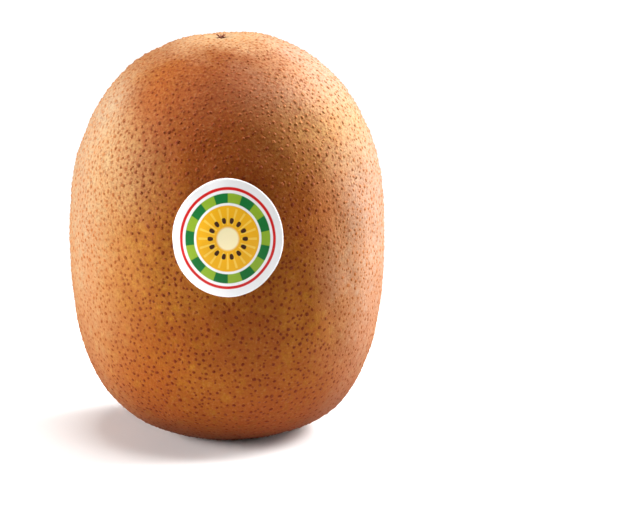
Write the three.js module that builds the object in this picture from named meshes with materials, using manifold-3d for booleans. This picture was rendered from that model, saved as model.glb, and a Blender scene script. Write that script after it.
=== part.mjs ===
// A golden kiwifruit standing on its stem end, with a small paper label stuck on its front.
// The fruit grew as one piece, so it is one closed body: a plump barrel that is a little flatter
// front to back, with low corky pimples all over, a hollow and a tuft of dried flower styles on
// top, a flat spot it rests on, and the scar of the stalk sunk into that spot. The label is a
// thin oval that follows the skin.
//
// Millimetres, +Z up. The origin is the middle of the resting spot, and -Y is the labelled front.
// A direction below is always seen from the middle of the girth, the fruit's widest ring.

import * as THREE from "three";
import { ConvexHull } from "three/addons/math/ConvexHull.js";
import { mergeVertices } from "three/addons/utils/BufferGeometryUtils.js";
import Module from "manifold-3d";

const wasm = await Module();
wasm.setup();

// Driving dimensions of the fruit
const GIRTH_RADIUS = 25.7; // half the width at the girth, along X
const DEPTH_SHARE = 0.95; // the girth's depth along Y, as a share of its width
const GIRTH_HEIGHT = 34.2; // height of the girth above the resting spot
const TOP_RISE = 31.5; // from the girth up to the blossom end
const TOP_FULLNESS = 2.22; // exponent of the upper outline: 2 is an ellipse, more is squarer
const BASE_DROP = 34.55; // from the girth down to where the outline would close without a flat spot
const BASE_FULLNESS = 2.84;

// Soft unevenness: the direction of each swell, its spread in radians and its rise in mm
const SWELLS = [
  { name: "high shoulder", at: new THREE.Vector3(0.2, 0.12, 1), spread: 0.16, rise: 0.28 },
  { name: "blossom hollow", at: new THREE.Vector3(-0.035, -0.02, 1), spread: 0.085, rise: -0.6 },
  { name: "upper left", at: new THREE.Vector3(-0.7, 0, 0.9), spread: 0.35, rise: 0.14 },
  { name: "full left flank", at: new THREE.Vector3(-1, 0, 0.05), spread: 0.45, rise: 0.28 },
  { name: "lower right corner", at: new THREE.Vector3(0.42, 0, -0.9), spread: 0.16, rise: 0.6 },
  { name: "lean back", at: new THREE.Vector3(0.25, 1, 0.35), spread: 0.4, rise: -0.35 },
];
const RIDGES = 4; // faint lengthwise ridges round the girth
const RIDGE_RISE = 0.12;
const RIDGE_TURN = 0.8; // where the first ridge stands, in radians from +X

// Lenticels, the corky pimples of the skin, as low cones on an even but irregular lattice
const PIMPLES = 900;
const PIMPLE_RADIUS = 0.6;
const PIMPLE_SIDES = 5;
const PIMPLE_RISE = 0.2;
const PIMPLE_STRAY = 0.35; // how far one strays from its lattice place, as a share of the spacing
const PIMPLE_SEED = 20;
const POLE_CLEARANCE = 0.22; // no pimples within this angle of either end, in radians

// The flat spot that the fruit rests on, round the stalk's scar
const FOOT_RADIUS = 6.8;
const FOOT_CORNERS = 36;

// The stalk's scar, a groove round a low corky plug: its outline as [radius, height above the
// resting plane], from the rim to the middle of the plug
const SCAR_OUTLINE = [
  [3.3, 0],
  [2.8, 0.7],
  [2.1, 0.9],
  [1.7, 0.4],
  [1, 0.3],
  [0, 0.3],
];
const SCAR_SEGMENTS = 28;
const CUT_MARGIN = 1; // how far the cutting solid reaches out below the resting plane

// The dried styles that stay on the blossom end as a small star-shaped tuft in a hollow
const TUFT_AT = new THREE.Vector2(-1.05, -0.6);
const STYLES = 10;
const STYLE_LENGTHS = [0.75, 1.15]; // shortest and longest
const STYLE_LEANS = [0.55, 1.15]; // angle from upright in radians, least and most
const STYLE_ROOT_RADIUS = 0.3;
const STYLE_ROOT_DEPTH = 0.6; // how far a root is sunk into the fruit
const STYLE_SIDES = 4;
const STYLE_SEED = 7;
const HOLLOW_RINGS = [0.03, 0.06, 0.095]; // rings of mesh corners round the tuft, in radians
const HOLLOW_CORNERS = 12;
const RING_MARGIN = 0.03; // the lattice keeps this clear of those rings and of the foot's edge

// The label
const LABEL_WIDTH = 17.5; // along the skin
const LABEL_HEIGHT = 18.6;
const LABEL_MIDDLE_HEIGHT = 37.15; // above the resting spot
const LABEL_GAP = 0.3; // clear of the skin, so that the two solids never touch
const LABEL_THICKNESS = 0.35;
const LABEL_RINGS = 6;
const LABEL_SEGMENTS = 36;
const LABEL_MARGIN = 1.8; // no pimples under the label or this close to it

const SKIN = { color: 0xb4743a, roughness: 0.55, metalness: 0 };
const PAPER = { color: 0xf1f1ec, roughness: 0.4, metalness: 0 };

const girthCentre = new THREE.Vector3(0, 0, GIRTH_HEIGHT);
const tuftDirection = new THREE.Vector3(TUFT_AT.x, TUFT_AT.y, TOP_RISE).normalize();
const stemDirection = new THREE.Vector3(0, 0, -1);

// A repeatable stream of numbers from 0 to 1 (mulberry32)
function seeded(seed) {
  let state = seed;
  return () => {
    state = (state + 0x6d2b79f5) | 0;
    let t = Math.imul(state ^ (state >>> 15), 1 | state);
    t = (t + Math.imul(t ^ (t >>> 7), 61 | t)) ^ t;
    return ((t ^ (t >>> 14)) >>> 0) / 4294967296;
  };
}

// The exponent and the reach of the outline above or below the girth
function outlineOf(height) {
  return height >= 0
    ? { fullness: TOP_FULLNESS, reach: TOP_RISE }
    : { fullness: BASE_FULLNESS, reach: BASE_DROP };
}

// The unevenness in one direction, in mm
function swell(direction) {
  let rise = 0;
  for (const { at, spread, rise: most } of SWELLS) {
    const away = direction.angleTo(at) / spread;
    rise += most * Math.exp(-away * away);
  }
  const flank = 1 - direction.z * direction.z;
  const turn = Math.atan2(direction.y, direction.x) - RIDGE_TURN;
  return rise + RIDGE_RISE * flank * flank * Math.cos(RIDGES * turn);
}

// The point of the skin in one direction, raised by some mm
function skinPoint(direction, raised = 0) {
  const { fullness, reach } = outlineOf(direction.z);
  const across = Math.hypot(direction.x, direction.y / DEPTH_SHARE) / GIRTH_RADIUS;
  const along = Math.abs(direction.z) / reach;
  const outline = (across ** fullness + along ** fullness) ** (-1 / fullness);
  const point = direction.clone().multiplyScalar(outline + swell(direction) + raised);
  point.add(girthCentre);
  point.z = Math.max(point.z, 0);
  return point;
}

// The direction of a place on the label, given from the label's middle as mm round the skin and
// mm of height
function labelDirection(across, up) {
  const height = LABEL_MIDDLE_HEIGHT - GIRTH_HEIGHT + up;
  const { fullness, reach } = outlineOf(height);
  const radius = GIRTH_RADIUS * (1 - (Math.abs(height) / reach) ** fullness) ** (1 / fullness);
  const turn = across / GIRTH_RADIUS;
  const depth = radius * DEPTH_SHARE * Math.cos(turn);
  return new THREE.Vector3(radius * Math.sin(turn), -depth, height).normalize();
}

function underLabel(direction) {
  const { x, y, z } = skinPoint(direction);
  const across = x / (LABEL_WIDTH / 2 + LABEL_MARGIN);
  const up = (z - LABEL_MIDDLE_HEIGHT) / (LABEL_HEIGHT / 2 + LABEL_MARGIN);
  return y < 0 && Math.hypot(across, up) < 1;
}

function toSolid(geometry) {
  const bare = geometry.clone().deleteAttribute("normal").deleteAttribute("uv");
  const merged = mergeVertices(bare, 1e-4);
  const mesh = new wasm.Mesh({
    numProp: 3,
    vertProperties: new Float32Array(merged.attributes.position.array),
    triVerts: new Uint32Array(merged.index.array),
  });
  return new wasm.Manifold(mesh);
}

function toGeometry(solid) {
  const { vertProperties, triVerts } = solid.getMesh();
  const geometry = new THREE.BufferGeometry();
  geometry.setAttribute("position", new THREE.BufferAttribute(vertProperties, 3));
  geometry.setIndex(new THREE.BufferAttribute(triVerts, 1));
  geometry.computeVertexNormals();
  return geometry;
}

// The lattice place of one pimple: a turn of the golden angle for each step down the sphere
function latticeDirection(step, random) {
  const goldenAngle = Math.PI * (3 - Math.sqrt(5));
  const spacing = Math.sqrt((4 * Math.PI) / PIMPLES);
  const stray = () => (2 * random() - 1) * PIMPLE_STRAY * spacing;
  const height = 1 - (2 * step + 1) / PIMPLES;
  const across = Math.sqrt(1 - height * height);
  const turn = step * goldenAngle;
  const direction = new THREE.Vector3(across * Math.cos(turn), across * Math.sin(turn), height);
  direction.add(new THREE.Vector3(stray(), stray(), stray()));
  return direction.normalize();
}

// Evenly spaced directions at one angle from a middle direction
function ringDirections(middle, angle, count, firstTurn = 0) {
  const aside = new THREE.Vector3(1, 0, 0).cross(middle).normalize();
  return Array.from({ length: count }, (_, i) => {
    const turn = firstTurn + (2 * Math.PI * i) / count;
    return middle.clone().applyAxisAngle(aside, angle).applyAxisAngle(middle, turn);
  });
}

// Every corner of the skin's mesh, as a direction and how far it is raised
function skinCorners() {
  const random = seeded(PIMPLE_SEED);
  const footAngle = Math.atan(FOOT_RADIUS / GIRTH_HEIGHT);
  const hollowAngle = HOLLOW_RINGS.at(-1);
  const corners = [];
  const add = (directions, raised = 0) => {
    for (const direction of directions) corners.push({ direction, raised });
  };
  add([stemDirection, ...ringDirections(stemDirection, footAngle, FOOT_CORNERS)]);
  add([tuftDirection]);
  for (const angle of HOLLOW_RINGS) add(ringDirections(tuftDirection, angle, HOLLOW_CORNERS));
  for (let step = 0; step < PIMPLES; step++) {
    const tip = latticeDirection(step, random);
    const firstTurn = random() * 2 * Math.PI;
    const fromStem = tip.angleTo(stemDirection);
    const fromTuft = tip.angleTo(tuftDirection);
    const onRings = fromStem < footAngle + RING_MARGIN || fromTuft < hollowAngle + RING_MARGIN;
    const bare = Math.min(fromStem, fromTuft) < POLE_CLEARANCE || underLabel(tip);
    if (onRings) continue;
    add([tip], bare ? 0 : PIMPLE_RISE);
    if (bare) continue;
    const angle = PIMPLE_RADIUS / skinPoint(tip).distanceTo(girthCentre);
    add(ringDirections(tip, angle, PIMPLE_SIDES, firstTurn));
  }
  return corners;
}

// The plump body. The hull of all the directions on the unit sphere says which corners of the
// skin share a triangle.
function bodySolid() {
  const corners = skinCorners();
  const place = new Map(corners.map(({ direction }, i) => [direction, i]));
  const index = [];
  for (const { edge } of new ConvexHull().setFromPoints([...place.keys()]).faces) {
    for (const side of [edge, edge.next, edge.prev]) index.push(place.get(side.head().point));
  }
  const points = corners.map(({ direction, raised }) => skinPoint(direction, raised));
  const body = new THREE.BufferGeometry().setFromPoints(points);
  body.setIndex(index);
  return toSolid(body);
}

// One dried style: a thin tapered prong that leans away from the middle of the tuft
function styleSolid(lean, turn, length) {
  const prong = new THREE.ConeGeometry(STYLE_ROOT_RADIUS, length + STYLE_ROOT_DEPTH, STYLE_SIDES);
  prong.rotateX(Math.PI / 2);
  prong.translate(0, 0, (length - STYLE_ROOT_DEPTH) / 2);
  prong.rotateY(lean);
  prong.rotateZ(turn);
  const foot = skinPoint(tuftDirection);
  prong.translate(foot.x, foot.y, foot.z);
  return toSolid(prong);
}

function tuftSolids() {
  const random = seeded(STYLE_SEED);
  return Array.from({ length: STYLES }, (_, i) => {
    const lean = THREE.MathUtils.lerp(...STYLE_LEANS, random());
    const turn = ((i + random() / 2) / STYLES) * 2 * Math.PI;
    return styleSolid(lean, turn, THREE.MathUtils.lerp(...STYLE_LENGTHS, random()));
  });
}

// What the stalk's scar takes out of the resting spot
function scarSolid() {
  const [rim] = SCAR_OUTLINE[0];
  const outline = [[0, -CUT_MARGIN], [rim, -CUT_MARGIN], ...SCAR_OUTLINE];
  const points = outline.map(([radius, height]) => new THREE.Vector2(radius, height));
  const groove = new THREE.LatheGeometry(points, SCAR_SEGMENTS);
  groove.rotateX(Math.PI / 2); // the lathe turns about Y, and the fruit stands along Z
  return toSolid(groove);
}

function fruitGeometry() {
  let fruit = bodySolid();
  for (const style of tuftSolids()) fruit = fruit.add(style);
  return toGeometry(fruit.subtract(scarSolid()));
}

// The label: rings of corners on its face and on its underside, joined by a rim
function labelGeometry() {
  const positions = [];
  const index = [];
  const addCorner = (share, turn, raised) => {
    const across = (LABEL_WIDTH / 2) * share * Math.cos(turn);
    const up = (LABEL_HEIGHT / 2) * share * Math.sin(turn);
    positions.push(...skinPoint(labelDirection(across, up), raised).toArray());
    return positions.length / 3 - 1;
  };
  const addRings = (raised) =>
    Array.from({ length: LABEL_RINGS }, (_, ring) =>
      Array.from({ length: LABEL_SEGMENTS }, (__, s) =>
        addCorner((ring + 1) / LABEL_RINGS, (2 * Math.PI * s) / LABEL_SEGMENTS, raised),
      ),
    );
  const join = (inner, outer) => {
    for (let s = 0; s < inner.length; s++) {
      const next = (s + 1) % inner.length;
      index.push(inner[s], outer[s], outer[next], inner[s], outer[next], inner[next]);
    }
  };
  const addLayer = (middle, rings) => {
    const [first] = rings;
    for (let s = 0; s < first.length; s++) index.push(middle, first[s], first[(s + 1) % first.length]);
    for (let ring = 1; ring < rings.length; ring++) join(rings[ring - 1], rings[ring]);
  };
  const face = addRings(LABEL_GAP + LABEL_THICKNESS);
  const under = addRings(LABEL_GAP);
  addLayer(addCorner(0, 0, LABEL_GAP + LABEL_THICKNESS), face);
  addLayer(addCorner(0, 0, LABEL_GAP), under.map((ring) => ring.toReversed()));
  join(face.at(-1), under.at(-1));
  const geometry = new THREE.BufferGeometry();
  geometry.setAttribute("position", new THREE.Float32BufferAttribute(positions, 3));
  geometry.setIndex(index);
  geometry.computeVertexNormals();
  return geometry;
}

function addPiece(group, name, geometry, finish) {
  const piece = new THREE.Mesh(geometry, new THREE.MeshStandardMaterial(finish));
  piece.name = name;
  group.add(piece);
}

const kiwifruit = new THREE.Group();
addPiece(kiwifruit, "fruit", fruitGeometry(), SKIN);
addPiece(kiwifruit, "label", labelGeometry(), PAPER);

export default kiwifruit;
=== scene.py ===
"""A golden kiwifruit standing on its stem end, with a small printed paper label on its front.

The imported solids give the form. The skin here is the same form with thousands of corky
lenticels raised on it, a pucker round the dried flower styles on top and a woody scar
underneath. Lengths are in mm until a mesh is made, and -Y is the labelled front.
"""

import math

import bpy
import numpy as np
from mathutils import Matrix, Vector
from mathutils.geometry import delaunay_2d_cdt
from mathutils.kdtree import KDTree


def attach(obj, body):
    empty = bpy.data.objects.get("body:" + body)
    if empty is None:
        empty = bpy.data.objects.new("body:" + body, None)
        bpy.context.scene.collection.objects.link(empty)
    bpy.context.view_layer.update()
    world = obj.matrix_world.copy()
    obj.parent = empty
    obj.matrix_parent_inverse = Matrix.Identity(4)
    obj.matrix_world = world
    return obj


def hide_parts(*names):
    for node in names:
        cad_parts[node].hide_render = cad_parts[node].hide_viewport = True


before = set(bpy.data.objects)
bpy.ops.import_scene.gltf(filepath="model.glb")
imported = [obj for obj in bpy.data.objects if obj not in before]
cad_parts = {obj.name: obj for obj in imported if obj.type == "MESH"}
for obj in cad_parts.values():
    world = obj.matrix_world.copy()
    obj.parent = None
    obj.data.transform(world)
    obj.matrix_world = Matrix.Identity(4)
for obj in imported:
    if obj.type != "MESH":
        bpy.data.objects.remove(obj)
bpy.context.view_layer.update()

MM = 0.001  # metres

# The fruit's form, as its solid has it
GIRTH_RADIUS = 25.7
DEPTH_SHARE = 0.95
GIRTH_HEIGHT = 34.2
TOP_RISE = 31.5
TOP_FULLNESS = 2.22
BASE_DROP = 34.55
BASE_FULLNESS = 2.84
SWELLS = [  # direction, spread in radians, rise
    ((0.2, 0.12, 1), 0.16, 0.28),
    ((-0.035, -0.02, 1), 0.085, -0.6),
    ((-0.7, 0, 0.9), 0.35, 0.14),
    ((-1, 0, 0.05), 0.45, 0.28),
    ((0.42, 0, -0.9), 0.16, 0.6),
    ((0.25, 1, 0.35), 0.4, -0.35),
]
RIDGES = 4
RIDGE_RISE = 0.12
RIDGE_TURN = 0.8
TUFT_AT = (-1.05, -0.6)

# Slow unevenness of the skin, too fine for the solid
DIMPLES = 60
DIMPLE_LENGTHS = (4.0, 12.0)
DIMPLE_RISE = 0.012

# Lenticels, and the plain corners of the skin between them
CANDIDATES = 60000
MOST_LENTICELS = 6750
SPACING = (0.45, 1.32)  # least and most distance that one keeps to its neighbours
RADIUS = (0.22, 0.42)
STEEPNESS = (0.22, 0.42)  # height as a share of the radius, low on the fruit and high on it
STEEPER_FROM = 22  # the height where they start to rise more, and over how much height
STEEPER_OVER = 34
MOST_REACH = 0.46  # of the way to the nearest other lenticel
# Corners, radius and height as shares of the lenticel's, and lean of the surface there
TIP_RING = (6, 0.66, 0.6, 2.1)
FOOT_RING = (7, 1.0, 0.0, 0.0)
PLAIN_SPACING = 1.1
CLEAR_OF_PUCKER = 0.35
CLEAR_OF_SCAR = 0.45

# Stem end: the stalk's scar as (radius, height) pairs
SCAR_RIM = 4.4
SCAR_CORNERS = 84
SCAR_OUTLINE = [(4.4, 0), (3.3, 0), (2.8, 0.7), (2.1, 0.9), (1.7, 0.4), (1, 0.3), (0, 0.3)]
SCAR_MIDDLE_HEIGHT = 0.3
SCAR_ROWS = 18
SCAR_ROUGH_WITHIN = 3.6
WOOD_WITHIN = 3.3
WOOD_EDGE = 0.12

# Blossom end: the pit, and the dried styles that stand in it
PUCKER_REACH = 2.5
PUCKER_SPACING = 0.14
PIT_DEPTH = 0.3
PIT_RADIUS = 0.5
FOLD_RISE = 0.05
FOLD_RADIUS = 0.95
FOLD_WIDTH = 0.55
STYLES = 13
STYLE_SIDES = 6
STYLE_STEPS = 7
STYLE_ROOT_DEPTH = 0.1
STYLES_ROOTED = 0.28  # how far the dried styles run on into the skin

# Places of lighter and redder patches, in metres. The pale one high on the shoulder is a painted
# highlight, and the dark red one on the front is painted shade. That painted shade is taller than
# wide, so its place is in a space squeezed upright.
PAINTED_SHADE_SQUEEZE = (1.0, 1.0, 0.55)
PAINTED_SHADE_AT = (0.0, -0.02, 0.0295)
SHOULDER_HIGHLIGHT_AT = (0.015, -0.01, 0.057)
GLOW_AT = (-0.011, -0.022, 0.036)
CHEEK_AT = (-0.017, -0.016, 0.0475)
RUSSET_AT = (0.0135, -0.021, 0.042)
BROW_AT = (-0.0085, -0.0145, 0.058)
RAGGED = 0.006  # how far the noise moves a patch's edge

# Fine down on the skin, which catches light that grazes it
DOWN = {"Sheen_Weight": 0.08, "Sheen_Roughness": 0.5, "Sheen_Tint": (0.9, 0.72, 0.55, 1)}

# Label
LABEL_WIDTH = 17.5
LABEL_HEIGHT = 18.6
LABEL_MIDDLE_HEIGHT = 37.15
LABEL_UNDER = 0.1
LABEL_THICKNESS = 0.1
LABEL_CURL = 0.12
LABEL_WAVE = 0.02
LENTICELS_UNDER = 0.6  # how far in under its edge they are found
LABEL_RINGS = 30
LABEL_SEGMENTS = 96
# The label presses lenticels flat this far past its edge, to this height
PRESSED_PAST = 0.5
PRESSED_HEIGHT = 0.04

# Studio, in metres and degrees
GLOW_STARTS = (0.06, 0.13)  # from the middle of the floor: where the glow starts and is full
GLOW = 1.04
TABLE_RADIUS = 0.16
BACKDROP_FLAT = 0.7
BACKDROP_RISE = 0.9
BACKDROP_RADIUS = 1.5
BACKDROP_TOP = 2.4
TURNED_SIDES = 96
LIGHT_DISTANCE = 0.8
LIGHTS_FACE = (0, 0, 0.035)
LIGHTS = [  # name, azimuth, elevation, width and height, power
    ("left_softbox", -79, 13, (0.5, 0.4), 11),
    ("right_softbox", 108, 35, (0.55, 0.36), 13),
    ("right_strip", 106, 5, (0.45, 0.34), 4.6),
    ("overhead", 0, 88, (0.4, 0.4), 5.4),
]
WORLD_LIGHT = 0.06

# The camera looks down on the fruit a little, with the fruit left of the frame's middle
CAMERA_DISTANCE = 0.45
CAMERA_ELEVATION = math.radians(12)
AIM = (0, 0, 0.033)
LENS = 153.9
SENSOR_WIDTH = 36
SHIFT = (0.1452, -0.0329)
NEAR_CLIP = 0.01

rng = np.random.default_rng(11)
girth_centre = np.array([0.0, 0.0, GIRTH_HEIGHT])


def unit(vectors):
    return vectors / np.linalg.norm(vectors, axis=-1, keepdims=True)


dimple_waves = unit(rng.normal(size=(DIMPLES, 3)))
dimple_waves *= (2 * math.pi / rng.uniform(*DIMPLE_LENGTHS, DIMPLES))[:, None]
dimple_phases = rng.uniform(0, 2 * math.pi, DIMPLES)


def swell(d):
    """The unevenness in each direction from the middle of the girth."""
    rise = np.zeros(len(d))
    for at, spread, most in SWELLS:
        away = np.arccos(np.clip(d @ unit(np.array(at, float)), -1, 1)) / spread
        rise += most * np.exp(-(away**2))
    flank = 1 - d[:, 2] ** 2
    turn = np.arctan2(d[:, 1], d[:, 0]) - RIDGE_TURN
    rise += RIDGE_RISE * flank**2 * np.cos(RIDGES * turn)
    waves = (d * GIRTH_RADIUS) @ dimple_waves.T + dimple_phases
    return rise + DIMPLE_RISE * np.cos(waves).sum(1)


def skin(d):
    """The points of the skin in these directions from the middle of the girth."""
    upper = d[:, 2] >= 0
    fullness = np.where(upper, TOP_FULLNESS, BASE_FULLNESS)
    reach = np.where(upper, TOP_RISE, BASE_DROP)
    across = np.hypot(d[:, 0], d[:, 1] / DEPTH_SHARE) / GIRTH_RADIUS
    along = np.abs(d[:, 2]) / reach
    outline = (across**fullness + along**fullness) ** (-1 / fullness)
    return d * (outline + swell(d))[:, None] + girth_centre


def skin_frames(d):
    """Two tangents and the outward normal of the skin in each direction."""
    step = 0.004
    aside = unit(np.cross(d, [0.13, 0.35, 0.93]))
    other = np.cross(d, aside)
    run_a = skin(unit(d + step * aside)) - skin(unit(d - step * aside))
    run_b = skin(unit(d + step * other)) - skin(unit(d - step * other))
    out = unit(np.cross(run_a, run_b))
    out *= np.sign((out * d).sum(1, keepdims=True))
    first = unit(run_a)
    return first, np.cross(out, first), out


def ring_on_skin(points, frames, radii, turns):
    """Skin directions of points at a radius and a turn from given points of the skin."""
    first, second, _ = frames
    moved = points + radii[:, None] * (
        np.cos(turns)[:, None] * first + np.sin(turns)[:, None] * second
    )
    return unit(moved - girth_centre)


tuft_direction = unit(np.array([[TUFT_AT[0], TUFT_AT[1], TOP_RISE]]))
tuft_point = skin(tuft_direction)[0]


def kd_of(points):
    tree = KDTree(len(points))
    for i, point in enumerate(points):
        tree.insert(point, i)
    tree.balance()
    return tree


def under_label(points, margin):
    """Which points lie under the label, made wider all round by a margin."""
    across = points[:, 0] / (LABEL_WIDTH / 2 + margin)
    up = (points[:, 2] - LABEL_MIDDLE_HEIGHT) / (LABEL_HEIGHT / 2 + margin)
    return (points[:, 1] < 0) & (np.hypot(across, up) < 1)


def throw_darts():
    """Uneven places for the lenticels, and plain places that fill the gaps between them."""
    d = unit(rng.normal(size=(CANDIDATES, 3)))
    points = skin(d)
    from_tuft = np.linalg.norm(points - tuft_point, axis=1)
    from_scar = np.where(d[:, 2] < 0, np.hypot(points[:, 0], points[:, 1]), np.inf)
    free = from_tuft > PUCKER_REACH + CLEAR_OF_PUCKER
    free &= from_scar > SCAR_RIM + CLEAR_OF_SCAR
    corky = free & ~under_label(points, -LENTICELS_UNDER)
    tree = kd_of(points)
    crowd = 1 - 0.3 * np.exp(-((from_tuft / 11) ** 2))
    spacing = crowd * rng.uniform(*SPACING, CANDIDATES)
    chosen = []
    for i in range(CANDIDATES):
        if not corky[i]:
            continue
        chosen.append(i)
        for _, j, _ in tree.find_range(points[i], spacing[i]):
            corky[j] = False
    lenticels = np.array(chosen[:MOST_LENTICELS])
    print("lenticels wanted", len(chosen), "kept", len(lenticels))
    for i in lenticels:
        for _, j, _ in tree.find_range(points[i], PLAIN_SPACING * 0.8):
            free[j] = False
    plain = []
    for i in range(CANDIDATES):
        if free[i]:
            plain.append(i)
            for _, j, _ in tree.find_range(points[i], PLAIN_SPACING):
                free[j] = False
    return d[lenticels], d[np.array(plain, int)]


def lenticel_corners(d):
    """Corners of every lenticel: a tip, a ring high on it and its foot on the skin."""
    points = skin(d)
    frames = skin_frames(d)
    tree = kd_of(points)
    nearest = np.array([tree.find_n(point, 2)[1][2] for point in points])
    from_tuft = np.linalg.norm(points - tuft_point, axis=1)
    radius = RADIUS[0] + (RADIUS[1] - RADIUS[0]) * rng.beta(1.5, 2.3, len(d))
    upward = np.clip((points[:, 2] - STEEPER_FROM) / STEEPER_OVER, 0, 1)
    radius *= (1.0 + 0.15 * upward) * (1 - 0.15 * np.exp(-((from_tuft / 12) ** 2)))
    radius = np.minimum(radius, MOST_REACH * nearest)
    steepness = STEEPNESS[0] + (STEEPNESS[1] - STEEPNESS[0]) * upward
    height = steepness * radius * rng.uniform(0.6, 1.25, len(d))
    pressed = under_label(points, PRESSED_PAST)
    height[pressed] = np.minimum(height[pressed], PRESSED_HEIGHT)
    long_way = rng.uniform(0, math.pi, len(d))
    stretch = rng.uniform(1.0, 1.35, len(d))
    strength = rng.uniform(0.5, 1.0, len(d)) * (1 - 0.45 * upward)
    out = frames[2]
    places, normals = [points + height[:, None] * out], [out]
    spots, directions = [strength], [d]
    for corners, share, share_up, slope in (TIP_RING, FOOT_RING):
        first_turn = rng.uniform(0, 2 * math.pi, len(d))
        for k in range(corners):
            turn = first_turn + 2 * math.pi * k / corners
            lengthwise, sideways = np.cos(turn - long_way), np.sin(turn - long_way)
            oval = np.clip(np.hypot(lengthwise * stretch, sideways / stretch), 0.75, 1.3)
            reach = share * radius * oval * rng.uniform(0.88, 1.1, len(d))
            reach = np.minimum(reach, 0.47 * share * nearest)
            ring = ring_on_skin(points, frames, reach, turn)
            places.append(skin(ring) + (share_up * height)[:, None] * out)
            aside = np.cos(turn)[:, None] * frames[0] + np.sin(turn)[:, None] * frames[1]
            normals.append(unit(out + (slope * height / radius)[:, None] * aside))
            spots.append(strength * (0.95 if share_up else 0.24))
            directions.append(ring)
    return tuple(np.concatenate(each) for each in (directions, places, spots, normals))


def pucker_corners():
    """Close-set corners round the dried styles, drawn into a small wrinkled pit."""
    count = int(PUCKER_REACH / PUCKER_SPACING)
    frames = skin_frames(tuft_direction)
    directions, places = [tuft_direction[0]], [tuft_point - PIT_DEPTH * frames[2][0]]
    for row in range(1, count + 1):
        radius = row * PUCKER_SPACING
        corners = max(6, int(2 * math.pi * radius / PUCKER_SPACING))
        for k in range(corners):
            turn = 2 * math.pi * (k + 0.5 * (row % 2)) / corners
            one = np.array([radius * rng.uniform(0.98, 1.02)])
            ring = ring_on_skin(tuft_point[None], frames, one, np.array([turn]))
            fold = math.cos(7 * turn + 1.1) + 0.6 * math.cos(11 * turn + 0.4)
            lift = FOLD_RISE * fold * math.exp(-(((radius - FOLD_RADIUS) / FOLD_WIDTH) ** 2))
            lift -= PIT_DEPTH * math.exp(-((radius / PIT_RADIUS) ** 2))
            directions.append(ring[0])
            places.append(skin(ring)[0] + lift * frames[2][0])
    return np.array(directions), np.array(places)


def scar_rows():
    """Rows of corners from the flat spot's middle ring in to the middle of the stalk's scar."""
    radii = np.array([r for r, _ in SCAR_OUTLINE][::-1], float)
    heights = np.array([z for _, z in SCAR_OUTLINE][::-1], float)
    rows = []
    for row in range(SCAR_ROWS + 1):
        radius = SCAR_RIM * (1 - row / (SCAR_ROWS + 1))
        turns = 2 * math.pi * np.arange(SCAR_CORNERS) / SCAR_CORNERS
        wobble = 1 + 0.05 * np.cos(3 * turns + 0.6) + 0.03 * np.cos(7 * turns + 2.0)
        inside = radius < SCAR_ROUGH_WITHIN
        height = np.interp(radius / (wobble if inside else 1.0), radii, heights)
        height = height * np.ones(SCAR_CORNERS)
        if inside:
            height += 0.06 * np.cos(19 * turns + radius) + rng.normal(0, 0.02, SCAR_CORNERS)
        height = np.maximum(height, 0)
        rows.append(np.stack([radius * np.cos(turns), radius * np.sin(turns), height], 1))
    return rows


def mesh_object(name, places, faces, material):
    mesh = bpy.data.meshes.new(name)
    mesh.from_pydata((places * MM).tolist(), [], faces)
    mesh.shade_smooth()
    mesh.materials.append(material)
    made = bpy.data.objects.new(name, mesh)
    bpy.context.scene.collection.objects.link(made)
    return made


def set_attribute(made, name, values):
    attribute = made.data.attributes.new(name, "FLOAT", "POINT")
    attribute.data.foreach_set("value", np.asarray(values, np.float32))


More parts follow.
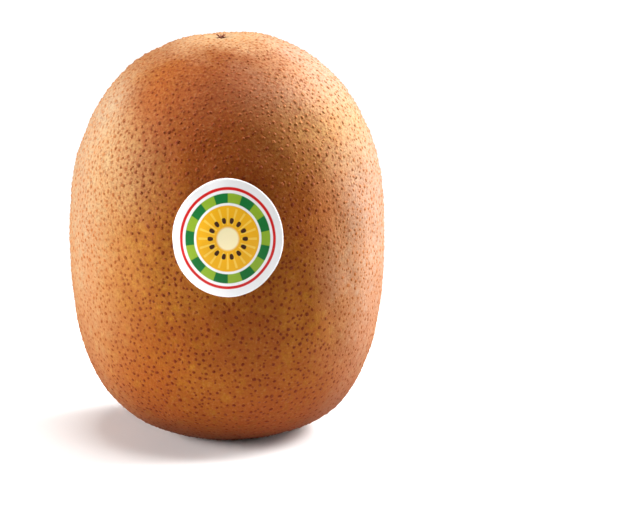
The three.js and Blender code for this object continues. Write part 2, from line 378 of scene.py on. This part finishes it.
def build_skin(material):
    """One closed mesh. The corners are joined up while spread out flat from the blossom end, and
    the scar's rows close the hole that this leaves at the stem end."""
    corky, plain = throw_darts()
    directions, places, spots, normals = lenticel_corners(corky)
    pucker_directions, pucker_places = pucker_corners()
    rows = scar_rows()
    rim_directions = unit(rows[0] - girth_centre)
    groups = [
        (directions, places, spots),
        (plain, skin(plain), np.zeros(len(plain))),
        (pucker_directions, pucker_places, np.zeros(len(pucker_places))),
        (rim_directions, rows[0], np.zeros(SCAR_CORNERS)),
    ]
    all_directions = np.concatenate([g[0] for g in groups])
    flat = all_directions[:, :2] / (1 + all_directions[:, 2:])
    cdt = delaunay_2d_cdt([Vector(p) for p in flat.tolist()], [], [], 0, 0.0, True)
    origin = [sources[0] for sources in cdt[3]]
    faces = [[origin[c] for c in face] for face in cdt[2]]
    rim_start = len(all_directions) - SCAR_CORNERS
    middle_place = [[0, 0, SCAR_MIDDLE_HEIGHT]]
    all_places = np.concatenate([g[1] for g in groups] + rows[1:] + [middle_place])
    for row in range(SCAR_ROWS):
        outer = rim_start + row * SCAR_CORNERS
        for k in range(SCAR_CORNERS):
            a, b = outer + k, outer + (k + 1) % SCAR_CORNERS
            faces.append([a, a + SCAR_CORNERS, b + SCAR_CORNERS, b])
    last = rim_start + SCAR_ROWS * SCAR_CORNERS
    middle = len(all_places) - 1
    for k in range(SCAR_CORNERS):
        faces.append([last + k, middle, last + (k + 1) % SCAR_CORNERS])
    all_places[:, 2] = np.maximum(all_places[:, 2], 0)
    made = mesh_object("skin", all_places, faces, material)
    smooth = np.zeros(3 * len(all_places), np.float32)
    made.data.vertex_normals.foreach_get("vector", smooth)
    smooth = smooth.reshape(-1, 3)
    smooth[: len(places)] = normals
    smooth[len(places) : len(places) + len(plain)] = skin_frames(plain)[2]
    made.data.normals_split_custom_set_from_vertices(smooth.tolist())
    made.shadow_terminator_geometry_offset = 0.5
    made.shadow_terminator_shading_offset = 0.15
    bare = np.zeros(len(all_places) - len(all_directions))
    set_attribute(made, "spot", np.concatenate([g[2] for g in groups] + [bare]))
    from_scar = np.hypot(all_places[:, 0], all_places[:, 1])
    past_wood = np.where(all_places[:, 2] < 5, (from_scar - WOOD_WITHIN) / WOOD_EDGE, np.inf)
    set_attribute(made, "wood", 1 / (1 + np.exp(np.minimum(past_wood, 100))))
    from_tuft = np.linalg.norm(all_places - tuft_point, axis=1)
    set_attribute(made, "from_tuft", from_tuft)
    print("skin", len(all_places), "corners", len(made.data.polygons), "faces",
          sum(len(p.vertices) - 2 for p in made.data.polygons), "triangles")
    return made


class Shader:
    """A material's node tree, with short calls to add to it."""

    def __init__(self, name):
        self.material = bpy.data.materials.new(name)
        self.material.use_nodes = True
        self.tree = self.material.node_tree
        self.tree.nodes.clear()

    def add(self, kind, inputs=None, **settings):
        node = self.tree.nodes.new(kind)
        for key, value in settings.items():
            setattr(node, key, value)
        for key, value in (inputs or {}).items():
            if isinstance(value, bpy.types.NodeSocket):
                self.tree.links.new(value, node.inputs[key])
            else:
                node.inputs[key].default_value = value
        return node

    def attribute(self, name):
        return self.add("ShaderNodeAttribute", attribute_name=name).outputs["Fac"]

    def math(self, operation, *values):
        inputs = dict(enumerate(values))
        return self.add("ShaderNodeMath", inputs, operation=operation).outputs[0]

    def smooth(self, value, low, high, low_out=0.0, high_out=1.0):
        inputs = {"Value": value, "From Min": low, "From Max": high}
        inputs |= {"To Min": low_out, "To Max": high_out}
        return self.add("ShaderNodeMapRange", inputs, interpolation_type="SMOOTHSTEP").outputs[0]

    def distance(self, a, b):
        node = self.add("ShaderNodeVectorMath", {0: a, 1: b}, operation="DISTANCE")
        return node.outputs["Value"]

    def mix(self, share, a, b, blend="MIX"):
        node = self.add("ShaderNodeMix", data_type="RGBA", blend_type=blend)
        for key, value in ((0, share), (6, a), (7, b)):
            if isinstance(value, bpy.types.NodeSocket):
                self.tree.links.new(value, node.inputs[key])
            else:
                node.inputs[key].default_value = value
        return node.outputs[2]

    def noise(self, coordinates, scale, detail=3.0, roughness=0.5):
        inputs = {"Vector": coordinates, "Scale": scale, "Detail": detail, "Roughness": roughness}
        return self.add("ShaderNodeTexNoise", inputs).outputs["Fac"]

    def specks(self, coordinates, scale, radius):
        """Soft round dots, some strong and some faint, at most one to a cell."""
        inputs = {"Vector": coordinates, "Scale": scale}
        cells = self.add("ShaderNodeTexVoronoi", inputs, feature="F1")
        dot = self.smooth(cells.outputs["Distance"], radius, radius * 0.4)
        draw = self.add("ShaderNodeSeparateColor", {0: cells.outputs["Color"]}).outputs[0]
        return self.math("MULTIPLY", dot, self.smooth(draw, 0.3, 0.9))

    def finish(self, colour, roughness, normal=None, **others):
        inputs = {"Base Color": colour, "Roughness": roughness}
        inputs |= {key.replace("_", " "): value for key, value in others.items()}
        if normal is not None:
            inputs["Normal"] = normal
        shader = self.add("ShaderNodeBsdfPrincipled", inputs)
        self.add("ShaderNodeOutputMaterial", {"Surface": shader.outputs[0]})
        return self.material


def srgb(red, green, blue):
    """Linear colour of an 8-bit display colour."""
    linear = []
    for channel in (red, green, blue):
        c = channel / 255
        linear.append(c / 12.92 if c <= 0.04045 else ((c + 0.055) / 1.055) ** 2.4)
    return (*linear, 1.0)


def skin_material():
    """Golden ochre skin with corky dots. Its colour holds painted light on the flanks, sides and
    shoulder, and painted shade on the front and low down.
    """
    s = Shader("kiwi_skin")
    place = s.add("ShaderNodeTexCoord").outputs["Object"]
    split = s.add("ShaderNodeSeparateXYZ", {0: place})
    height = split.outputs["Z"]
    broad = s.noise(place, 75, 2)
    mottle = s.noise(place, 420, 4, 0.6)
    fine = s.noise(place, 2300, 3, 0.6)
    scurf = s.noise(place, 2100, 2, 0.7)
    from_tuft = s.attribute("from_tuft")
    colour = s.mix(s.smooth(broad, 0.38, 0.62), srgb(174, 110, 20), srgb(160, 91, 13))
    colour = s.mix(s.smooth(mottle, 0.35, 0.7, 0, 0.55), colour, srgb(149, 83, 20))
    # Darker and redder towards the bottom: painted shade near the floor
    low = s.smooth(height, 0.0155, 0.0005, 0, 0.85)
    colour = s.mix(low, colour, srgb(110, 44, 8))
    wander = s.noise(place, 240, 4, 0.6)

    def patch(at, far, near, share, space=place):
        """How strongly a soft, ragged patch round a place shows."""
        away = s.math("ADD", s.distance(space, at), s.math("MULTIPLY", wander, RAGGED))
        return s.smooth(away, far, near, 0, share)

    across, along = split.outputs["X"], split.outputs["Y"]
    # Paler on the flanks and the back, most on the right: painted light where the side lights fall
    aside = s.math("ADD", s.math("ABSOLUTE", across), s.math("MULTIPLY", broad, 0.01))
    side = s.smooth(across, -0.01, 0.01)
    flank = s.smooth(aside, 0.016, 0.028, 0, 0.6)
    flank = s.math("MULTIPLY", flank, s.math("MULTIPLY_ADD", side, 0.3, 1.0))
    back = s.smooth(along, -0.004, 0.016, 0, 0.5)
    flank = s.math("MULTIPLY", s.math("MAXIMUM", flank, back), s.smooth(height, 0.006, 0.034))
    colour = s.mix(flank, colour, s.mix(side, srgb(200, 164, 112), srgb(200, 166, 136)))
    # A pale band on the sides seen from the front, pinker on the right: a painted highlight where
    # the side lights graze
    level = s.math("SQRT", s.math("ADD", s.math("POWER", across, 2), s.math("POWER", along, 2)))
    front = s.math("ADD", s.math("DIVIDE", along, level), s.math("MULTIPLY", broad, 0.2))
    painted_rim_highlight = s.math("MULTIPLY", s.smooth(front, -0.7, -0.28), s.smooth(front, 0.9, 0.1, 0.2, 1))
    painted_rim_highlight = s.math("MULTIPLY", painted_rim_highlight, s.smooth(height, 0.01, 0.056, 0.15, 0.7))
    top_left = s.smooth(height, 0.054, 0.063, 1, 0.3)
    painted_rim_highlight = s.math("MULTIPLY", painted_rim_highlight, s.math("MAXIMUM", top_left, side))
    colour = s.mix(painted_rim_highlight, colour, s.mix(side, srgb(189, 170, 144), srgb(198, 171, 158)))
    colour = s.mix(patch(GLOW_AT, 0.019, 0.008, 0.5), colour, srgb(196, 134, 48))
    colour = s.mix(patch(CHEEK_AT, 0.016, 0.006, 0.5), colour, srgb(208, 172, 118))
    colour = s.mix(patch(RUSSET_AT, 0.014, 0.004, 0.45), colour, srgb(214, 118, 44))
    # The front is darker and redder: painted shade between the side lights
    squeeze = {0: place, 1: PAINTED_SHADE_SQUEEZE}
    squeezed = s.add("ShaderNodeVectorMath", squeeze, operation="MULTIPLY").outputs[0]
    colour = s.mix(patch(PAINTED_SHADE_AT, 0.022, 0.008, 0.8, squeezed), colour, srgb(148, 68, 18))
    colour = s.mix(patch(BROW_AT, 0.014, 0.006, 0.5), colour, srgb(172, 96, 50))
    ragged = s.math("ADD", from_tuft, s.math("MULTIPLY", wander, 11.0))
    # A pale patch high on the right shoulder: a painted highlight
    painted_shoulder_highlight = patch(SHOULDER_HIGHLIGHT_AT, 0.023, 0.004, 0.66)
    upper = s.smooth(height, 0.052, 0.06)
    colour = s.mix(painted_shoulder_highlight, colour, s.mix(upper, srgb(214, 168, 92), srgb(214, 172, 138)))
    pale = s.smooth(ragged, 19, 9, 0, 0.75)
    colour = s.mix(pale, colour, srgb(216, 180, 136))
    flecks = s.smooth(height, 0.03, 0.06, 0.3, 0.55)
    flecks = s.math("MULTIPLY", s.smooth(scurf, 0.46, 0.6), flecks)
    flecks = s.math("MULTIPLY", flecks, s.smooth(painted_rim_highlight, 0, 0.7, 1, 0.5))
    flecks = s.math("MULTIPLY", flecks, s.smooth(from_tuft, 2.5, 8, 0.35, 1))
    colour = s.mix(flecks, colour, srgb(146, 64, 26))
    # Spots and their halos are paler where the skin is pale and where light is painted on it
    pale_and_painted_light = s.math("MAXIMUM", s.math("MAXIMUM", flank, painted_rim_highlight), s.math("MAXIMUM", pale, painted_shoulder_highlight))
    pale_and_painted_light = s.math("MULTIPLY", pale_and_painted_light, 1.3)
    cork = s.mix(pale_and_painted_light, srgb(106, 30, 2), srgb(184, 104, 38))
    faint = s.specks(place, 1000, 0.3)
    colour = s.mix(s.math("MULTIPLY", faint, 0.65), colour, cork)
    halo = s.mix(pale_and_painted_light, srgb(150, 62, 18), srgb(200, 124, 62))
    colour = s.mix(s.smooth(s.attribute("spot"), 0.0, 0.24, 0, 0.42), colour, halo)
    spot = s.smooth(s.attribute("spot"), 0.12, 0.8, 0, 0.85)
    colour = s.mix(spot, colour, cork)
    pit = s.smooth(s.math("ADD", from_tuft, s.math("MULTIPLY", wander, 0.8)), 1.7, 0.9)
    colour = s.mix(pit, colour, srgb(84, 34, 20))
    bark = s.mix(s.smooth(mottle, 0.3, 0.7), srgb(58, 36, 22), srgb(118, 84, 54))
    colour = s.mix(s.attribute("wood"), colour, bark)
    grainy = s.smooth(height, 0.02, 0.05, 0.5, 1)
    light_grain = s.math("MULTIPLY", s.smooth(fine, 0.52, 0.7, 0, 0.14), grainy)
    colour = s.mix(light_grain, colour, srgb(230, 178, 120))
    dark_grain = s.math("MULTIPLY", s.smooth(fine, 0.5, 0.3, 0, 0.5), grainy)
    colour = s.mix(dark_grain, colour, srgb(100, 36, 6))
    roughness = s.smooth(mottle, 0.3, 0.7, 0.52, 0.64)
    rough_wood = s.math("MAXIMUM", roughness, s.math("MULTIPLY", s.attribute("wood"), 0.8))
    relief = s.math("ADD", fine, s.math("MULTIPLY", mottle, 0.7))
    relief = s.math("ADD", relief, s.math("MULTIPLY", faint, 0.8))
    bump = s.add("ShaderNodeBump", {"Strength": 0.8, "Distance": 0.0001, "Height": relief})
    return s.finish(colour, rough_wood, bump.outputs[0], Specular_IOR_Level=0.1, **DOWN)


def label_material():
    """White paper with a printed roundel: a slice of fruit inside a leafy ring."""
    s = Shader("label_print")
    uv = s.add("ShaderNodeUVMap", uv_map="print").outputs[0]
    split = s.add("ShaderNodeSeparateXYZ", {0: uv})
    across, up = split.outputs["X"], split.outputs["Y"]
    squares = s.math("MULTIPLY", across, across), s.math("MULTIPLY", up, up)
    radius = s.math("SQRT", s.math("ADD", *squares))
    turn = s.math("ARCTAN2", up, across)

    def band(low, high, edge=0.006):
        inner = s.smooth(radius, low - edge, low + edge)
        return s.math("MULTIPLY", inner, s.smooth(radius, high + edge, high - edge))

    def around(count, phase=0.0):
        """From 0 to 1 and back, so many times round the roundel."""
        wave = s.math("COSINE", s.math("ADD", s.math("MULTIPLY", turn, count), phase))
        return s.math("MULTIPLY_ADD", wave, 0.5, 0.5)

    colour = srgb(240, 240, 241)
    leafy = s.mix(s.smooth(around(9), 0.45, 0.55), srgb(20, 116, 52), srgb(142, 176, 44))
    colour = s.mix(band(0.6, 0.76), colour, leafy)
    colour = s.mix(band(0.81, 0.86), colour, srgb(212, 22, 20))
    colour = s.mix(s.smooth(radius, 0.565, 0.553), colour, srgb(240, 176, 22))
    rays = s.math("MULTIPLY", s.smooth(around(20), 0.78, 0.9), band(0.24, 0.52))
    colour = s.mix(s.math("MULTIPLY", rays, 0.65), colour, srgb(250, 214, 96))
    colour = s.mix(s.smooth(radius, 0.22, 0.17), colour, srgb(252, 238, 190))
    along = s.math("DIVIDE", s.math("SUBTRACT", radius, 0.31), 0.05)
    aside = s.math("MULTIPLY", s.math("SUBTRACT", 1.0, around(14)), 1.9)
    seed = s.math("ADD", s.math("MULTIPLY", along, along), s.math("MULTIPLY", aside, aside))
    colour = s.mix(s.smooth(seed, 1.1, 0.85), colour, srgb(66, 34, 24))
    grain = s.noise(s.add("ShaderNodeTexCoord").outputs["Object"], 5000, 2)
    bump = s.add("ShaderNodeBump", {"Strength": 0.08, "Distance": 0.00003, "Height": grain})
    return s.finish(colour, s.smooth(grain, 0.3, 0.7, 0.3, 0.36), bump.outputs[0])


def style_material():
    """Dry brown fibre."""
    s = Shader("dried_style")
    place = s.add("ShaderNodeTexCoord").outputs["Object"]
    grain = s.noise(place, 4000, 3)
    colour = s.mix(s.smooth(grain, 0.3, 0.7), srgb(84, 34, 20), srgb(146, 74, 44))
    bump = s.add("ShaderNodeBump", {"Strength": 0.4, "Distance": 0.00003, "Height": grain})
    return s.finish(colour, s.smooth(grain, 0.3, 0.7, 0.6, 0.8), bump.outputs[0])


def label_directions(across, up):
    """Directions to points of the skin this far across and up from the label's middle."""
    height = LABEL_MIDDLE_HEIGHT - GIRTH_HEIGHT + up
    fullness = np.where(height >= 0, TOP_FULLNESS, BASE_FULLNESS)
    reach = np.where(height >= 0, TOP_RISE, BASE_DROP)
    radius = GIRTH_RADIUS * (1 - (np.abs(height) / reach) ** fullness) ** (1 / fullness)
    turn = across / GIRTH_RADIUS
    return unit(np.stack([radius * np.sin(turn), -radius * DEPTH_SHARE * np.cos(turn), height], 1))


def build_label(material):
    """A thin oval sheet that follows the skin, a little proud at part of its edge."""
    shares, turns = [0.0], [0.0]
    for ring in range(1, LABEL_RINGS + 1):
        for k in range(LABEL_SEGMENTS):
            shares.append(ring / LABEL_RINGS)
            turns.append(2 * math.pi * k / LABEL_SEGMENTS)
    shares, turns = np.array(shares), np.array(turns)
    u, v = shares * np.cos(turns), shares * np.sin(turns)
    d = label_directions(u * LABEL_WIDTH / 2, v * LABEL_HEIGHT / 2)
    out = skin_frames(d)[2]
    edge = np.clip((shares - 0.8) / 0.2, 0, 1)
    curl = LABEL_CURL * edge**2 * (1 + np.cos(turns - 0.5)) / 2
    wave = LABEL_WAVE * np.cos(5 * turns + 1) * shares**2
    under = skin(d) + (LABEL_UNDER + curl + wave)[:, None] * out
    face = under + LABEL_THICKNESS * out
    count = len(shares)
    faces = []

    def at(layer, ring, k):
        return layer * count + 1 + (ring - 1) * LABEL_SEGMENTS + k % LABEL_SEGMENTS

    for k in range(LABEL_SEGMENTS):
        faces.append([0, at(0, 1, k), at(0, 1, k + 1)])
        faces.append([count, at(1, 1, k + 1), at(1, 1, k)])
        for ring in range(1, LABEL_RINGS):
            a, b = at(0, ring, k), at(0, ring + 1, k)
            c, e = at(0, ring + 1, k + 1), at(0, ring, k + 1)
            faces.append([a, b, c, e])
            faces.append([e + count, c + count, b + count, a + count])
        faces.append([at(0, LABEL_RINGS, k), at(1, LABEL_RINGS, k),
                      at(1, LABEL_RINGS, k + 1), at(0, LABEL_RINGS, k + 1)])
    made = mesh_object("label_sheet", np.concatenate([face, under]), faces, material)
    uv = made.data.uv_layers.new(name="print")
    corners = np.zeros(len(made.data.loops), int)
    made.data.loops.foreach_get("vertex_index", corners)
    both = np.concatenate([np.stack([u, v], 1)] * 2)
    uv.data.foreach_set("uv", both[corners].astype(np.float32).ravel())
    return made


def build_tuft(material):
    """The dried styles: thin curled prongs that spread from a small knot in the pucker."""
    draw = np.random.default_rng(5)
    first, second, out = (axis[0] for axis in skin_frames(tuft_direction))
    root = tuft_point - STYLE_ROOT_DEPTH * out
    places, faces = [], []
    sides, steps = STYLE_SIDES, STYLE_STEPS
    for i in range(STYLES):
        turn = 2 * math.pi * (i + draw.uniform(-0.3, 0.3)) / STYLES
        aside = math.cos(turn) * first + math.sin(turn) * second
        sideways = np.cross(out, aside)
        length = draw.uniform(0.75, 1.25)
        lean, curl = draw.uniform(0.25, 1.0), draw.uniform(0.3, 0.9)
        bend = draw.uniform(-0.5, 0.5)
        thick = draw.uniform(0.12, 0.18)
        at = root.copy()
        start = len(places)
        for step in range(steps + 1):
            share = step / steps
            angle = lean + curl * share
            outward = math.cos(bend * share) * aside + math.sin(bend * share) * sideways
            forward = math.cos(angle) * out + math.sin(angle) * outward
            if step:
                at = at + forward * length / steps
            foot = at if step else at - STYLES_ROOTED * forward
            across = unit(np.cross(forward, sideways + 0.01 * out))
            radius = thick * (1 - 0.75 * share) * draw.uniform(0.85, 1.15)
            for k in range(sides):
                around = 2 * math.pi * k / sides
                upright = math.sin(around) * np.cross(forward, across)
                places.append(foot + radius * (math.cos(around) * across + upright))
        for step in range(steps):
            for k in range(sides):
                a = start + step * sides + k
                b = start + step * sides + (k + 1) % sides
                faces.append([a, b, b + sides, a + sides])
        faces.append([start + k for k in range(sides)][::-1])
        faces.append([start + steps * sides + k for k in range(sides)])
    return mesh_object("dried_styles", np.array(places), faces, material)


skin_piece = build_skin(skin_material())
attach(skin_piece, "root")
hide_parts("fruit")

tuft_piece = build_tuft(style_material())
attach(tuft_piece, "root")

label_piece = build_label(label_material())
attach(label_piece, "root")
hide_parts("label")


def turned(name, outline, material):
    """A surface of revolution about the vertical, from (radius, height) pairs in metres."""
    sides = TURNED_SIDES
    places = []
    for radius, height in outline:
        for k in range(sides):
            turn = 2 * math.pi * k / sides
            places.append((radius * math.cos(turn), radius * math.sin(turn), height))
    faces = [list(range(sides))] if outline[0][0] < 0.01 else []
    for ring in range(len(outline) - 1):
        for k in range(sides):
            a, b = ring * sides + k, ring * sides + (k + 1) % sides
            faces.append([a, a + sides, b + sides, b])
    return mesh_object(name, np.array(places) / MM, faces, material)


def build_floor():
    """A pale table top, and round it a wide pale dish that curves up to a backdrop."""
    s = Shader("pale_floor")
    place = s.add("ShaderNodeTexCoord").outputs["Object"]
    pale = s.mix(s.noise(place, 6, 2), srgb(244, 244, 244), srgb(248, 248, 248))
    away = s.smooth(s.distance(place, (0, 0, 0)), *GLOW_STARTS)
    colour = s.mix(away, pale, (0, 0, 0, 1))
    glow = s.math("MULTIPLY", away, GLOW)
    white = (1, 1, 1, 1)
    material = s.finish(colour, 0.9, Emission_Color=white, Emission_Strength=glow)
    table = turned("table", [(0.001, 0), (TABLE_RADIUS, 0)], material)
    table.visible_glossy = False
    outline = [(TABLE_RADIUS, 0), (BACKDROP_FLAT, 0)]
    steps = 12
    for step in range(1, steps + 1):
        angle = math.pi / 2 * step / steps
        radius = BACKDROP_FLAT + (BACKDROP_RADIUS - BACKDROP_FLAT) * math.sin(angle)
        outline.append((radius, BACKDROP_RISE * (1 - math.cos(angle))))
    outline.append((BACKDROP_RADIUS, BACKDROP_TOP))
    backdrop = turned("backdrop", outline, material)
    backdrop.visible_diffuse = False  # only the table top throws light back at the fruit
    backdrop.visible_glossy = False


def add_light(name, azimuth, elevation, size, power):
    """A soft panel that faces the fruit. Azimuth 0 is the labelled front, 90 the right."""
    turn, lift = math.radians(azimuth), math.radians(elevation)
    level = math.cos(lift)
    way = Vector((math.sin(turn) * level, -math.cos(turn) * level, math.sin(lift)))
    lamp = bpy.data.lights.new(name, "AREA")
    lamp.shape = "RECTANGLE"
    lamp.size, lamp.size_y = size
    lamp.energy = power
    made = bpy.data.objects.new(name, lamp)
    made.location = Vector(LIGHTS_FACE) + LIGHT_DISTANCE * way
    made.rotation_euler = (-way).to_track_quat("-Z", "Y").to_euler()
    bpy.context.scene.collection.objects.link(made)


build_floor()
for light in LIGHTS:
    add_light(*light)

world = bpy.data.worlds.new("studio")
world.use_nodes = True
background = world.node_tree.nodes["Background"]
background.inputs["Color"].default_value = (1, 1, 1, 1)
background.inputs["Strength"].default_value = WORLD_LIGHT
bpy.context.scene.world = world
bpy.context.scene.view_settings.view_transform = "Standard"

camera = bpy.data.objects.new("camera", bpy.data.cameras.new("camera"))
camera.data.sensor_width = SENSOR_WIDTH
camera.data.lens = LENS
camera.data.shift_x, camera.data.shift_y = SHIFT
camera.data.clip_start = NEAR_CLIP
away = Vector((0, -math.cos(CAMERA_ELEVATION), math.sin(CAMERA_ELEVATION)))
camera.location = Vector(AIM) + CAMERA_DISTANCE * away
camera.rotation_euler = (-away).to_track_quat("-Z", "Y").to_euler()
bpy.context.scene.collection.objects.link(camera)
bpy.context.scene.camera = camera
